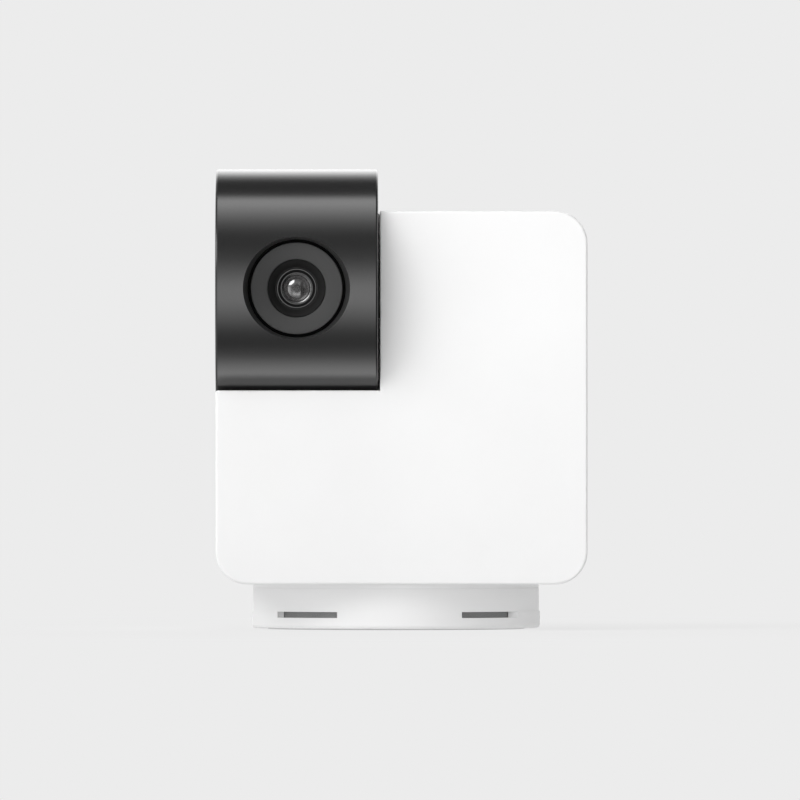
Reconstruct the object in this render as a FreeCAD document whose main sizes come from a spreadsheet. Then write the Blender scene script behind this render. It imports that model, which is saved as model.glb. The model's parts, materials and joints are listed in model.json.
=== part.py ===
import FreeCAD, Part
import math
import os
import re
import Sketcher

# A pan and tilt pet camera: a round foot, a rounded body that pans on it, and a drum head that tilts in it.
# Millimetres. +Z is up, -Y is the front, and the origin is where the pan axis meets the table.

V = FreeCAD.Vector
doc = FreeCAD.newDocument("PetCamera")
sheet = doc.addObject("Spreadsheet::Sheet", "Sizes")

# The driving dimensions: each is one cell, named by its alias.
DRIVING = {
    # body
    "body_width": 74.4, "body_shift": 1.1, "body_depth": 66, "body_height": 74.7, "body_wall": 2,
    "corner_round": 6.5, "front_round": 0.5, "back_round": 3, "back_shell_depth": 13, "seam_gap": 0.3,
    "tongue_thick": 0.9, "tongue_length": 2, "lip_round": 0.3,
    # head
    "head_radius": 24, "head_length": 32.5, "head_wall": 1.8, "head_round": 0.4, "head_gap": 0.5,
    "head_end_gap": 0.4, "tilt_drop": 15.5, "tilt_setback": 14, "cap_thick": 1.6, "cap_inset": 0.15,
    "cap_rib_inset": 1.5, "cap_rib_thick": 1.2, "cap_rib": 2,
    # lens
    "mouth_radius": 10.7, "throat_radius": 9.8, "recess_depth": 4.6, "collar_wall": 1.6, "shelf_width": 1.3,
    "bezel_radius": 9.2, "bezel_thick": 1.2, "bezel_front_wall": 0.45, "bezel_outer_wall": 0.6,
    "bezel_inner_wall": 0.8, "lens_hole": 5.8, "light_board_thick": 0.8, "lamp_radius": 0.8,
    "lamp_height": 0.6, "hood_foot": 0.6, "hood_lip": 0.25, "hood_drop": 0.2,
    "barrel_radius": 3.95, "barrel_length": 7, "barrel_inset": 2.4, "barrel_wall": 0.5,
    "glass_radius": 2.7, "glass_dome": 1.2, "glass_inset": 1.5, "glass_thick": 1.2,
    "holder_width": 11, "holder_depth": 4, "camera_board_width": 19, "board_thick": 1.2, "post_spread": 7,
    "sensor_width": 6, "sensor_thick": 1, "filter_thick": 0.3, "head_screw_length": 5,
    # base
    "base_radius": 29, "base_step": 0.2, "base_top": 8.8, "base_seam": 3.6, "base_wall": 1.6,
    "base_round": 0.6,
    "pad_radius": 26, "pad_thick": 0.8, "pad_stand": 0.2, "pad_rim": 3, "pad_groove": 1, "floor_thick": 1.2,
    "plate_thick": 2, "slot_start": 12.5, "slot_end": 24.5, "slot_shift": 0.7, "slot_low": 2.4,
    "slot_reach": 15.6, "body_gap": 0.4,
    "inlet_width": 9, "inlet_height": 3.2, "inlet_depth": 7.4, "inlet_skin": 0.4, "inlet_margin": 0.2,
    "power_board_width": 20, "power_board_depth": 13, "power_board_thick": 0.8, "power_board_rise": 0.4,
    "speaker_radius": 6.3, "speaker_thick": 2.4, "speaker_forward": 20, "base_screw_x": 18,
    "base_screw_y": 12.6,
    "cover_boss_radius": 3.2, "cover_boss_wall": 1.1, "base_screw_length": 3.6,
    # pan bearing and gear trains
    "spindle_radius": 8.9, "spindle_bore": 5.5, "flange_radius": 13, "flange_thick": 2, "bearing_gap": 0.1,
    "washer_width": 19.2, "washer_thick": 0.3, "retainer_width": 3.5, "retainer_thick": 1,
    "gear_module": 0.5, "gear_width": 4, "pan_teeth": 60, "tilt_teeth": 36, "pinion_teeth": 12,
    "journal_radius": 5.9, "journal_bore": 4, "gear_seat_radius": 5,
    "bushing_wall": 1.5, "bushing_flange": 1.2,
    "bushing_flange_thick": 0.6, "clip_thick": 0.6, "clip_width": 1.6, "motor_shaft": 1, "motor_radius": 9,
    "motor_length": 15, "motor_offset": 5.4, "motor_ear": 12,
    "ear_radius": 3.2, "ear_thick": 0.8, "motor_rise": 2.3,
    # fasteners and bosses
    "screw_radius": 0.95, "screw_head": 1.9, "head_thick": 1.2, "motor_screw_length": 5,
    "board_screw_length": 4.5, "gear_screw_grip": 3.5, "boss_radius": 2.6, "screw_gap": 0.1,
    "boss_inset": 6.2, "standoff_radius": 2, "screw_sink": 4,
    # main board and what it carries
    "board_width": 36.5, "board_from_left": 3.1, "board_end_gap": 1.4, "board_behind": 5.8,
    "board_hole_inset": 4, "chip_space": 3, "chip_width": 12, "chip_thick": 1.2,
    "sink_width": 14, "sink_height": 5,
    "fin_count": 6, "fin_thick": 0.9, "card_width": 14, "card_length": 14, "card_thick": 1.8, "card_slot": 12,
    "card_slot_thick": 1.4, "card_up": 19.5, "button_radius": 1.8, "button_side": 5.3, "button_up": 5.5,
    "button_travel": 0.5, "button_proud": 0.2, "button_gap": 0.3,
    "button_flange": 0.8, "button_flange_thick": 0.7,
    "switch_width": 4.5, "mic_radius": 2, "mic_thick": 1.5, "mic_hole": 0.5, "mic_side": 4.7, "mic_down": 7.5,
    "vent_count": 7, "vent_pitch": 3.6, "vent_width": 1.4, "vent_height": 16,
    "antenna_length": 30, "antenna_height": 7, "antenna_thick": 0.6, "antenna_drop": 9.9,
}
for row, (alias, number) in enumerate(DRIVING.items(), 1):
    sheet.set(f"A{row}", alias)
    sheet.set(f"B{row}", str(number))
    sheet.setAlias(f"B{row}", alias)
doc.recompute()

# Places and sizes that follow from the driving dimensions.
DERIVED = {
    "body_left": "body_width / 2 - body_shift",
    "body_right": "body_width - body_left",
    "body_bottom": "base_top + body_gap",
    "body_top": "body_bottom + body_height",
    "floor_top": "body_bottom + body_wall",
    "seam_y": "body_depth / 2 - back_shell_depth",
    "back_inside": "body_depth / 2 - body_wall",
    "tilt_y": "tilt_setback - body_depth / 2",
    "tilt_height": "body_top - tilt_drop",
    "notch_radius": "head_radius + head_gap",
    "head_end": "head_length - body_left",
    "notch_end": "head_end + head_end_gap",
    "notch_inside": "notch_end + body_wall",
    "lens_x": "head_length / 2 - body_left",
    "head_inside": "head_radius - head_wall",
    "bezel_front": "head_radius - recess_depth",
    "light_front": "bezel_front - bezel_thick",
    "shelf_front": "light_front - light_board_thick",
    "collar_back": "shelf_front - 1",
    "collar_radius": "throat_radius + collar_wall",
    "barrel_front": "bezel_front - barrel_inset",
    "barrel_back": "barrel_front - barrel_length",
    "glass_edge": "barrel_front - glass_inset",
    "glass_back": "glass_edge - glass_thick",
    "holder_front": "barrel_back + holder_depth - sensor_thick - filter_thick - 0.3",
    "camera_board_front": "holder_front - holder_depth",
    "base_floor": "pad_thick + floor_thick",
    "screw_seat": "pad_thick + head_thick + 0.1",
    "cover_boss_top": "screw_seat + cover_boss_wall",
    "plate_low": "base_top - plate_thick",
    "spindle_top": "floor_top + 2 * bearing_gap + retainer_thick",
    "gear_top": "spindle_top + gear_width",
    "spindle_hole": "spindle_radius + bearing_gap",
    "pan_distance": "gear_module * (pan_teeth + pinion_teeth) / 2",
    "tilt_distance": "gear_module * (tilt_teeth + pinion_teeth) / 2",
    "bushing_bore": "journal_radius + bearing_gap",
    "bushing_radius": "bushing_bore + bushing_wall",
    "gear_seat": "notch_inside + bushing_flange_thick + 0.3",
    "screw_hole": "screw_radius + screw_gap",
    "power_board_low": "base_floor + power_board_rise",
    "inlet_low": "power_board_low + power_board_thick",
    "inlet_back": "base_radius - 1.2",
    "board_low_x": "board_from_left - body_left",
    "board_back": "back_inside - board_behind",
    "board_front": "board_back - board_thick",
    "boss_left": "boss_inset - body_left",
    "boss_right": "body_right - boss_inset",
    "boss_low": "body_bottom + boss_inset",
    "boss_high": "body_top - boss_inset",
    "board_bottom": "boss_low + boss_radius + board_end_gap",
    "board_top": "boss_high - boss_radius - board_end_gap",
    "board_mid_x": "board_low_x + board_width / 2",
    "board_mid_z": "(board_bottom + board_top) / 2",
    "card_height": "board_bottom + card_up",
    "button_x": "board_mid_x - button_side",
    "button_height": "board_bottom + button_up",
    "mic_x": "board_mid_x + mic_side",
    "mic_height": "board_top - mic_down",
    "vent_run": "vent_height - vent_width",
}
SMALL_SIDES = 10
WORD = re.compile(r"[a-z_]+[a-z]")
PIECES = []


def bind(text):
    """An expression in the names above, as one in the sheet's cells."""
    def cell(match):
        word = match.group(0)
        if word in DERIVED:
            return f"({bind(DERIVED[word])})"
        return f"Sizes.{word}" if word in DRIVING else word
    return WORD.sub(cell, str(text))


def value(alias):
    return float(sheet.get(alias))


def set_place(item, spot, turn=(V(0, 0, 1), 0)):
    item.Placement = FreeCAD.Placement(V(0, 0, 0), FreeCAD.Rotation(*turn))
    for letter, text in zip("xyz", spot):
        item.setExpression(f".Placement.Base.{letter}", bind(text))


# How a piece made along +Z is turned to stand along another axis.
TURNS = {
    "up": (V(0, 0, 1), 0), "down": (V(1, 0, 0), 180), "right": (V(0, 1, 0), 90), "left": (V(0, 1, 0), -90),
    "front": (V(1, 0, 0), 90), "back": (V(1, 0, 0), -90),
}


def block(name, low, size):
    box = doc.addObject("Part::Box", name)
    for side, text in zip(("Length", "Width", "Height"), size):
        box.setExpression(side, bind(text))
    set_place(box, low)
    return box


def rod(name, radius, length, base, way="up"):
    cylinder = doc.addObject("Part::Cylinder", name)
    cylinder.setExpression("Radius", bind(radius))
    cylinder.setExpression("Height", bind(length))
    set_place(cylinder, base, TURNS[way])
    return cylinder


def fuse(name, shapes):
    joined = doc.addObject("Part::MultiFuse", name)
    joined.Shapes = shapes
    joined.Refine = True
    return joined


def cut(name, base, tools):
    result = doc.addObject("Part::Cut", name)
    result.Base = base
    result.Tool = tools[0] if len(tools) == 1 else fuse(f"{name}_tools", tools)
    result.Refine = True
    return result


def common(name, first, second):
    result = doc.addObject("Part::Common", name)
    result.Base = first
    result.Tool = second
    result.Refine = True
    return result


def group(name, shapes):
    """Identical separate solids that share one node."""
    compound = doc.addObject("Part::Compound", name)
    compound.Links = shapes
    return compound


def piece(item, label):
    item.Label = label
    PIECES.append(item)
    return item


def outline(body, role, points):
    """A closed straight-sided sketch whose corners are bound to pairs of expressions."""
    sketch = body.newObject("Sketcher::SketchObject", f"{body.Name}_sketch")
    plane = next(item for item in body.Origin.OriginFeatures if item.Role == role)
    sketch.AttachmentSupport = [(plane, "")]
    sketch.MapMode = "FlatFace"
    count = len(points)
    turn = 2 * math.pi / count
    spots = [V(10 + 5 * math.cos(i * turn), 5 * math.sin(i * turn), 0) for i in range(count)]
    for i in range(count):
        sketch.addGeometry(Part.LineSegment(spots[i], spots[(i + 1) % count]))
    for i in range(count):
        sketch.addConstraint(Sketcher.Constraint("Coincident", i, 2, (i + 1) % count, 1))
    for i, corner in enumerate(points):
        for kind, text in zip(("DistanceX", "DistanceY"), corner):
            index = sketch.addConstraint(Sketcher.Constraint(kind, -1, 1, i, 1, 1.0))
            name = f"{kind[-1].lower()}_corner_{i}"
            sketch.renameConstraint(index, name)
            sketch.setExpression(f"Constraints.{name}", bind(text))
    return sketch


def turned(name, points, spot=(0, 0, 0), way="up"):
    """A lathe-turned body: points are (radius, distance along the axis)."""
    body = doc.addObject("PartDesign::Body", name)
    sketch = outline(body, "XZ_Plane", points)
    spin = body.newObject("PartDesign::Revolution", f"{name}_turn")
    spin.Profile = sketch
    spin.ReferenceAxis = (sketch, ["V_Axis"])
    spin.Angle = 360
    body.Tip = spin
    set_place(body, spot, TURNS[way])
    return body


def round_edges(body, radius, wanted):
    """Rounds the edges of the body's last feature that the test picks."""
    doc.recompute()
    base = body.Tip
    names = [f"Edge{i}" for i, edge in enumerate(base.Shape.Edges, 1) if wanted(edge)]
    fillet = body.newObject("PartDesign::Fillet", f"{body.Name}_round")
    fillet.Base = (base, names)
    fillet.setExpression("Radius", bind(radius))
    body.Tip = fillet
    return fillet


def ring(name, inner, outer, low, high, spot=(0, 0, 0), way="up"):
    return turned(name, [(inner, low), (outer, low), (outer, high), (inner, high)], spot, way)


def prism(name, radius, length, spot, way):
    """A many-sided bar, for small round pieces that repeat."""
    bar = doc.addObject("Part::Prism", name)
    bar.Polygon = SMALL_SIDES
    bar.setExpression("Circumradius", bind(radius))
    bar.setExpression("Height", bind(length))
    set_place(bar, spot, TURNS[way])
    return bar


# For each way, how a distance along it is written as an offset of X, Y and Z.
STEPS = {
    "up": (0, 0, 1), "down": (0, 0, -1), "right": (1, 0, 0), "left": (-1, 0, 0), "front": (0, -1, 0),
    "back": (0, 1, 0),
}


def screw(name, spot, way, length):
    """A screw: spot is the seat under its head, and way is where the head faces."""
    foot = [f"{text} - ({step}) * ({length})" for text, step in zip(spot, STEPS[way])]
    shank = prism(f"{name}_shank", "screw_radius", f"({length}) + 0.2", foot, way)
    return fuse(name, [shank, prism(f"{name}_head", "screw_head", "head_thick", spot, way)])


def make_base():
    """The foot: it stands still on the table and carries the spindle that the body turns on."""
    piece(turned("foot_pad", [
        (0, 0), ("pad_radius - pad_rim - pad_groove", 0), ("pad_radius - pad_rim - pad_groove", "pad_stand"),
        ("pad_radius - pad_rim", "pad_stand"), ("pad_radius - pad_rim", 0), ("pad_radius", 0),
        ("pad_radius", "pad_thick"), (0, "pad_thick"),
    ]), "foot_pad")
    corners = [(f"{sx}base_screw_x", f"{sy}base_screw_y") for sx in ("", "-") for sy in ("", "-")]
    slots = [
        block(f"slot_{side}", (low, "-base_radius - 1", "slot_low"),
              ("slot_end - slot_start", "base_radius + 1 - slot_reach", "base_seam - slot_low + 1"))
        for side, low in (("right", "slot_start + slot_shift"), ("left", "slot_shift - slot_end"))
    ]
    inlet = round_ended("inlet_cutter", "inlet_width + 2 * inlet_margin", "inlet_height + 2 * inlet_margin",
                        "base_wall + 4", "inlet_low - inlet_margin", "base_radius + 1")
    make_base_cover(corners, slots, inlet)
    make_base_housing(corners, inlet)
    make_spindle()
    make_base_electrics()
    piece(group("base_screws", [
        screw(f"base_screw_{i}", (x, y, "screw_seat"), "down", "base_screw_length")
        for i, (x, y) in enumerate(corners)]), "base_screws")


def make_base_cover(corners, slots, inlet):
    edge = "base_radius - base_round"
    inside = "base_radius - base_wall"
    cup = turned("cover_cup", [
        (0, "pad_thick"), ("pad_radius + 0.2", "pad_thick"), ("pad_radius + 0.2", "pad_stand"),
        (edge, "pad_stand"), ("base_radius - base_round * 0.3", "pad_stand + base_round * 0.3"),
        ("base_radius", "pad_stand + base_round"), ("base_radius", "base_seam"), (inside, "base_seam"),
        (inside, "base_floor"), (0, "base_floor"),
    ])
    ribs = [block(f"board_rib_{i}", (x, "inlet_back - power_board_depth - 2.5", "base_floor - 0.2"),
                  (1.2, "power_board_depth - 1", "power_board_rise + 0.2"))
            for i, x in enumerate(("-power_board_width / 2 + 1", "power_board_width / 2 - 2.2"))]
    bosses = [rod(f"cover_boss_{i}", "cover_boss_radius", "cover_boss_top - base_floor + 0.2",
                  (x, y, "base_floor - 0.2")) for i, (x, y) in enumerate(corners)]
    holes = []
    for i, (x, y) in enumerate(corners):
        holes.append(rod(f"cover_hole_{i}", "screw_hole", 6, (x, y, 0)))
        holes.append(rod(f"cover_sink_{i}", "screw_head + 0.15", "screw_seat", (x, y, 0)))
    piece(cut("base_cover", fuse("cover_body", [cup] + ribs + bosses), slots + [inlet] + holes), "base_cover")


def make_base_housing(corners, inlet):
    outer = "base_radius - base_step"
    inside = "base_radius - base_wall"
    bell = turned("housing_bell", [
        (inside, "base_seam"), (outer, "base_seam"), (outer, "base_top - base_round"),
        (f"{outer} - base_round * 0.3", "base_top - base_round * 0.3"), (f"{outer} - base_round", "base_top"),
        ("spindle_hole", "base_top"), ("spindle_hole", "plate_low"), (inside, "plate_low"),
    ])
    bosses = [rod(f"housing_boss_{i}", "boss_radius", "plate_low + 0.5 - cover_boss_top",
                  (x, y, "cover_boss_top")) for i, (x, y) in enumerate(corners)]
    holes = [rod(f"housing_hole_{i}", "screw_hole", "base_screw_length - cover_boss_wall + 1.2",
                 (x, y, "cover_boss_top - 0.5"))
             for i, (x, y) in enumerate(corners)]
    piece(cut("base_housing", fuse("housing_body", [bell] + bosses), [inlet] + holes), "base_housing")


def make_spindle():
    """The hollow spindle, its washers, and the fixed gear that the pan pinion runs round."""
    hub = turned("spindle_body", [
        ("spindle_bore", "plate_low - flange_thick"), ("flange_radius", "plate_low - flange_thick"),
        ("flange_radius", "plate_low"), ("spindle_radius", "plate_low"), ("spindle_radius", "spindle_top"),
        ("spindle_bore", "spindle_top"),
    ])
    screw_ring = "(spindle_radius + spindle_bore) / 2"
    spots = [(f"{screw_ring} * cos({angle})", f"{screw_ring} * sin({angle})") for angle in (90, 210, 330)]
    taps = [rod(f"spindle_tap_{i}", "screw_hole", 6, (x, y, "spindle_top - 5"))
            for i, (x, y) in enumerate(spots)]
    piece(cut("pan_spindle", hub, taps), "pan_spindle")
    piece(ring("pan_washer", "spindle_radius + 0.3", "spindle_radius + washer_width", "base_top",
               "base_top + washer_thick"), "pan_washer")
    piece(ring("spindle_retainer", "spindle_radius + 0.05", "spindle_radius + retainer_width",
               "floor_top + bearing_gap", "floor_top + bearing_gap + retainer_thick"), "spindle_retainer")
    gear("pan_gear", "pan_teeth", value("spindle_bore"), ("0", "0", "spindle_top"), "up", 0,
         [(value("spindle_radius") + value("spindle_bore")) / 2, 3, 90, value("screw_radius") + 0.1])
    piece(group("gear_screws", [
        screw(f"gear_screw_{i}", (x, y, "gear_top"), "up", "gear_width + gear_screw_grip")
        for i, (x, y) in enumerate(spots)]), "gear_screws")


def tooth_points(teeth, module, backlash):
    """Half a tooth's involute flank, root to tip, as (radius, angle from the tooth's middle)."""
    pitch = module * teeth / 2
    base = pitch * math.cos(math.radians(20))
    involute = math.tan(math.radians(20)) - math.radians(20)
    half = math.pi / (2 * teeth) - backlash / pitch
    points = []
    for radius in (max(base, pitch - 1.1 * module), pitch, pitch + 0.9 * module):
        press = math.acos(min(1, base / radius))
        points.append((radius, half + involute - (math.tan(press) - press)))
    return points


def gear(label, teeth_alias, bore, spot, way, phase, holes=None):
    """A spur gear with involute flanks. phase turns it in degrees about its own axis."""
    module = value("gear_module")
    teeth = int(value(teeth_alias))
    root = module * teeth / 2 - 1.2 * module
    flank = tooth_points(teeth, module, 0.03)

    def at(radius, angle):
        return V(radius * math.cos(angle), radius * math.sin(angle), 0)

    edges = []
    for i in range(teeth):
        middle = 2 * math.pi * i / teeth + math.radians(phase)
        following = 2 * math.pi * (i + 1) / teeth + math.radians(phase)
        rise = [at(radius, middle - angle) for radius, angle in flank]
        fall = [at(radius, middle + angle) for radius, angle in reversed(flank)]
        foot = at(root, middle - flank[0][1])
        heel = at(root, middle + flank[0][1])
        edges.append(Part.LineSegment(foot, rise[0]).toShape())
        edges.append(Part.Arc(*rise).toShape())
        edges.append(Part.LineSegment(rise[2], fall[0]).toShape())
        edges.append(Part.Arc(*fall).toShape())
        edges.append(Part.LineSegment(fall[2], heel).toShape())
        edges.append(Part.LineSegment(heel, at(root, following - flank[0][1])).toShape())
    wheel = Part.Face(Part.Wire(edges)).extrude(V(0, 0, value("gear_width")))
    wheel = wheel.cut(Part.makeCylinder(bore, value("gear_width")))
    if holes:
        ring_radius, count, first, radius = holes
        for i in range(count):
            spot_angle = math.radians(first + 360 * i / count)
            wheel = wheel.cut(Part.makeCylinder(radius, value("gear_width"), at(ring_radius, spot_angle)))
    item = doc.addObject("Part::Feature", label)
    item.Shape = wheel
    set_place(item, spot, TURNS[way])
    return piece(item, label)


def make_base_electrics():
    piece(turned("speaker", [
        (0, 0), ("speaker_radius * 0.5", 0), ("speaker_radius * 0.5", "speaker_thick * 0.4"),
        ("speaker_radius", "speaker_thick * 0.4"), ("speaker_radius", "speaker_thick"),
        ("speaker_radius * 0.85", "speaker_thick"), ("speaker_radius * 0.4", "speaker_thick * 0.65"),
        (0, "speaker_thick * 0.8"),
    ], (0, "-speaker_forward", "base_floor")), "speaker")
    piece(block("power_board", ("-power_board_width / 2", "inlet_back - power_board_depth - 3",
                                "power_board_low"),
                ("power_board_width", "power_board_depth", "power_board_thick")), "power_board")
    outer = round_ended("inlet_outer", "inlet_width", "inlet_height", "inlet_depth", "inlet_low")
    hollow = round_ended("inlet_hollow", "inlet_width - 2 * inlet_skin", "inlet_height - 2 * inlet_skin",
                         "inlet_depth - 1", "inlet_low + inlet_skin")
    tongue = block("inlet_tongue", ("-inlet_width / 2 + 1.4", "inlet_back - inlet_depth",
                                    "inlet_low + inlet_height / 2 - 0.35"),
                   ("inlet_width - 2.8", "inlet_depth - 0.6", 0.7))
    piece(fuse("power_inlet", [cut("inlet_shell", outer, [hollow]), tongue]), "power_inlet")


def round_ended(name, width, height, depth, low, back="inlet_back"):
    """A bar with half-round sides that runs forward from back by its depth."""
    half = f"({height}) / 2"
    front = f"{back} - ({depth})"
    bar = block(f"{name}_bar", (f"-({width}) / 2 + {half}", front, low),
                (f"({width}) - ({height})", depth, height))
    ends = [rod(f"{name}_end_{i}", half, depth,
                (f"{sign}(({width}) / 2 - {half})", back, f"{low} + {half}"), "front")
            for i, sign in enumerate(("", "-"))]
    return fuse(name, [bar] + ends)


def rounded_case(name, inset, outside=False):
    """The body's outer form, or with an inset the form of its inside, which has plain front and back edges."""
    body = doc.addObject("PartDesign::Body", name)
    sketch = outline(body, "XZ_Plane", [
        (f"-body_left + {inset}", f"body_bottom + {inset}"),
        (f"body_right - {inset}", f"body_bottom + {inset}"),
        (f"body_right - {inset}", f"body_top - {inset}"), (f"-body_left + {inset}", f"body_top - {inset}"),
    ])
    pad = body.newObject("PartDesign::Pad", f"{name}_pad")
    pad.Profile = sketch
    pad.Midplane = True
    pad.setExpression("Length", bind(f"body_depth - 2 * {inset}"))
    body.Tip = pad
    round_edges(body, f"corner_round - {inset}",
                lambda edge: abs(edge.tangentAt(edge.FirstParameter).y) > 0.99)
    for side, radius in ((-1, "front_round"), (1, "back_round")):
        face = side * value("body_depth") / 2
        if outside:
            round_edges(body, radius,
                        lambda edge: all(abs(point.y - face) < 0.01 for point in edge.discretize(3)))
    return body


def drum_bar(name, radius, low, high):
    """A round bar on the tilt axis from one X to another."""
    return rod(name, radius, f"({high}) - ({low})", (low, "tilt_y", "tilt_height"), "right")


def motor_spots():
    """For each motor: its pinion's place, its own middle and its two ears, in the plane across its shaft."""
    slant = "sqrt(0.5)"
    far = "(tilt_distance + motor_offset)"
    ears = [(f"tilt_y + {far} * {slant} {sign} motor_ear * {slant}",
             f"tilt_height - {far} * {slant} {sign} motor_ear * {slant}") for sign in "+-"]
    return {
        "tilt_pinion": (f"tilt_y + tilt_distance * {slant}", f"tilt_height - tilt_distance * {slant}"),
        "tilt_middle": (f"tilt_y + {far} * {slant}", f"tilt_height - {far} * {slant}"),
        "tilt_ears": ears,
        "pan_middle": ("pan_distance + motor_offset", "0"),
        "pan_ears": [("pan_distance + motor_offset", f"{sign}motor_ear") for sign in ("", "-")],
    }


def make_body():
    """The case that pans: two shells, with the motors, the board and the tilt bearing inside."""
    outer = rounded_case("case_outer", "0", True)
    inner = rounded_case("case_inner", "body_wall")
    spots = motor_spots()
    bosses = [(x, z) for x in ("boss_left", "boss_right") for z in ("boss_low", "boss_high")]
    make_front_shell(outer, inner, spots, bosses)
    make_rear_shell(outer, inner, bosses)
    make_tilt_bearing()
    make_motors(spots)
    make_board()
    make_rear_details(bosses)


def half_space(name, low, high):
    return block(name, ("-body_left - 5", low, "body_bottom - 5"),
                 ("body_width + 10", f"({high}) - ({low})", "body_height + 10"))


def make_front_shell(outer, inner, spots, bosses):
    front = common("front_case", outer, half_space("front_half", "-body_depth / 2 - 5", "seam_y"))
    skin = cut("front_skin", front, [inner])
    cradle = common("cradle", drum_bar("cradle_bar", "notch_radius + body_wall", "-body_left - 1",
                                       "notch_inside"), outer)
    behind_face = "-body_depth / 2 + 1"
    starts = (behind_face, "tilt_y + notch_radius + 0.6", behind_face, behind_face)
    posts = [rod(f"front_boss_{i}", "boss_radius", f"seam_y - ({start})", (x, start, z), "back")
             for i, ((x, z), start) in enumerate(zip(bosses, starts))]
    tilt_posts = [rod(f"tilt_post_{i}", "standoff_radius", "gear_seat + gear_width + 1.5 - notch_inside + 0.5",
                      ("notch_inside - 0.5", y, z), "right") for i, (y, z) in enumerate(spots["tilt_ears"])]
    pan_posts = [rod(f"pan_post_{i}", "standoff_radius", "gear_top + motor_rise - floor_top + 0.5",
                     (x, y, "floor_top - 0.5")) for i, (x, y) in enumerate(spots["pan_ears"])]
    solid = fuse("front_solid", [skin, cradle] + posts + tilt_posts + pan_posts)
    holes = [rod(f"front_tap_{i}", "screw_hole", 9, (x, "seam_y - 8", z), "back")
             for i, (x, z) in enumerate(bosses)]
    holes += [rod(f"tilt_tap_{i}", "screw_hole", 6, ("gear_seat + gear_width - 3.5", y, z), "right")
              for i, (y, z) in enumerate(spots["tilt_ears"])]
    holes += [rod(f"pan_tap_{i}", "screw_hole", 7, (x, y, "gear_top + motor_rise - 5"))
              for i, (x, y) in enumerate(spots["pan_ears"])]
    holes.append(rod("spindle_way", "spindle_hole", "body_wall + 2", (0, 0, "body_bottom - 1")))
    holes.append(drum_bar("notch", "notch_radius", "-body_left - 2", "notch_end"))
    holes.append(drum_bar("bushing_way", "bushing_radius + 0.02", "notch_end - 1", "notch_inside + 1"))
    body = cut("front_cut", solid, holes)
    doc.recompute()
    lip = doc.addObject("Part::Fillet", "front_lip")
    lip.Base = body
    front = -value("body_depth") / 2
    lip.Edges = [(i, value("lip_round"), value("lip_round")) for i, edge in enumerate(body.Shape.Edges, 1)
                 if borders_notch(edge, front)]
    piece(lip, "front_shell")


def borders_notch(edge, front):
    """Whether an edge of the front face runs along the notch for the head."""
    side = value("head_length") - value("body_width") / 2 + value("body_shift") + value("head_end_gap")
    axis = (value("base_top") + value("body_gap") + value("body_height") - value("tilt_drop"))
    drop = math.sqrt((value("head_radius") + value("head_gap")) ** 2 - value("tilt_setback") ** 2)
    points = edge.discretize(5)
    if any(abs(point.y - front) > 0.01 for point in points):
        return False
    on_lip = all(abs(point.z - axis + drop) < 0.01 and point.x < side + 0.01 for point in points)
    return on_lip or all(abs(point.x - side) < 0.01 for point in points)


def make_rear_shell(outer, inner, bosses):
    back = common("back_case", outer, half_space("back_half", "seam_y + seam_gap", "body_depth / 2 + 5"))
    skin = cut("back_skin", back, [inner])
    lap = rounded_case("lap_outer", "(body_wall + 0.1)")
    lap_hollow = rounded_case("lap_inner", "(body_wall + 0.1 + tongue_thick)")
    tongue = common("tongue", cut("tongue_ring", lap, [lap_hollow]),
                    half_space("tongue_half", "seam_y - tongue_length", "seam_y + seam_gap + 1"))
    rim_slice = half_space("rim_half", "seam_y + seam_gap", "seam_y + seam_gap + 1")
    rim = cut("rim", common("rim_case", outer, rim_slice), [lap_hollow])
    posts = [rod(f"back_boss_{i}", "boss_radius", "back_inside + 0.5 - seam_y - seam_gap",
                 (x, "seam_y + seam_gap", z), "back") for i, (x, z) in enumerate(bosses)]
    board_posts = [rod(f"board_post_{i}", "standoff_radius", "board_behind + 0.5", (x, "board_back", z),
                       "back") for i, (x, z) in enumerate(board_holes())]
    holes = []
    for i, (x, z) in enumerate(bosses):
        holes.append(rod(f"back_hole_{i}", "screw_hole", "back_shell_depth + 2", (x, "seam_y - 1", z), "back"))
        holes.append(rod(f"back_sink_{i}", "screw_head + 0.2", "screw_sink + 1",
                         (x, "body_depth / 2 - screw_sink", z), "back"))
    holes += [rod(f"board_tap_{i}", "screw_hole", 5, (x, "board_back - 1", z), "back")
              for i, (x, z) in enumerate(board_holes())]
    holes.append(rod("button_way", "button_radius + button_gap", "body_wall + 2",
                     ("button_x", "back_inside - 1", "button_height"), "back"))
    holes.append(rod("mic_way", "mic_hole", "body_wall + 2", ("mic_x", "back_inside - 1", "mic_height"),
                     "back"))
    holes.append(block("card_way", ("-body_left - 1", "board_back + card_thick / 2 - card_slot_thick / 2",
                                    "card_height - card_slot / 2"),
                       ("body_wall + 2", "card_slot_thick", "card_slot")))
    for i in range(int(value("vent_count"))):
        middle = f"body_shift + ({i} - (vent_count - 1) / 2) * vent_pitch"
        holes.append(block(f"vent_{i}", (f"{middle} - vent_width / 2", "back_inside - 1",
                                         "board_mid_z - vent_run / 2"),
                           ("vent_width", "body_wall + 2", "vent_run")))
        holes += [rod(f"vent_{i}_{end}", "vent_width / 2", "body_wall + 2",
                      (middle, "back_inside - 1", f"board_mid_z {sign} vent_run / 2"), "back")
                  for end, sign in (("top", "+"), ("foot", "-"))]
    solid = fuse("back_solid", [skin, tongue, rim] + posts + board_posts)
    piece(cut("rear_shell", solid, holes), "rear_shell")


def board_holes():
    return [(x, z) for x in ("board_low_x + board_hole_inset", "board_low_x + board_width - board_hole_inset")
            for z in ("board_bottom + board_hole_inset", "board_top - board_hole_inset")]


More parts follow.
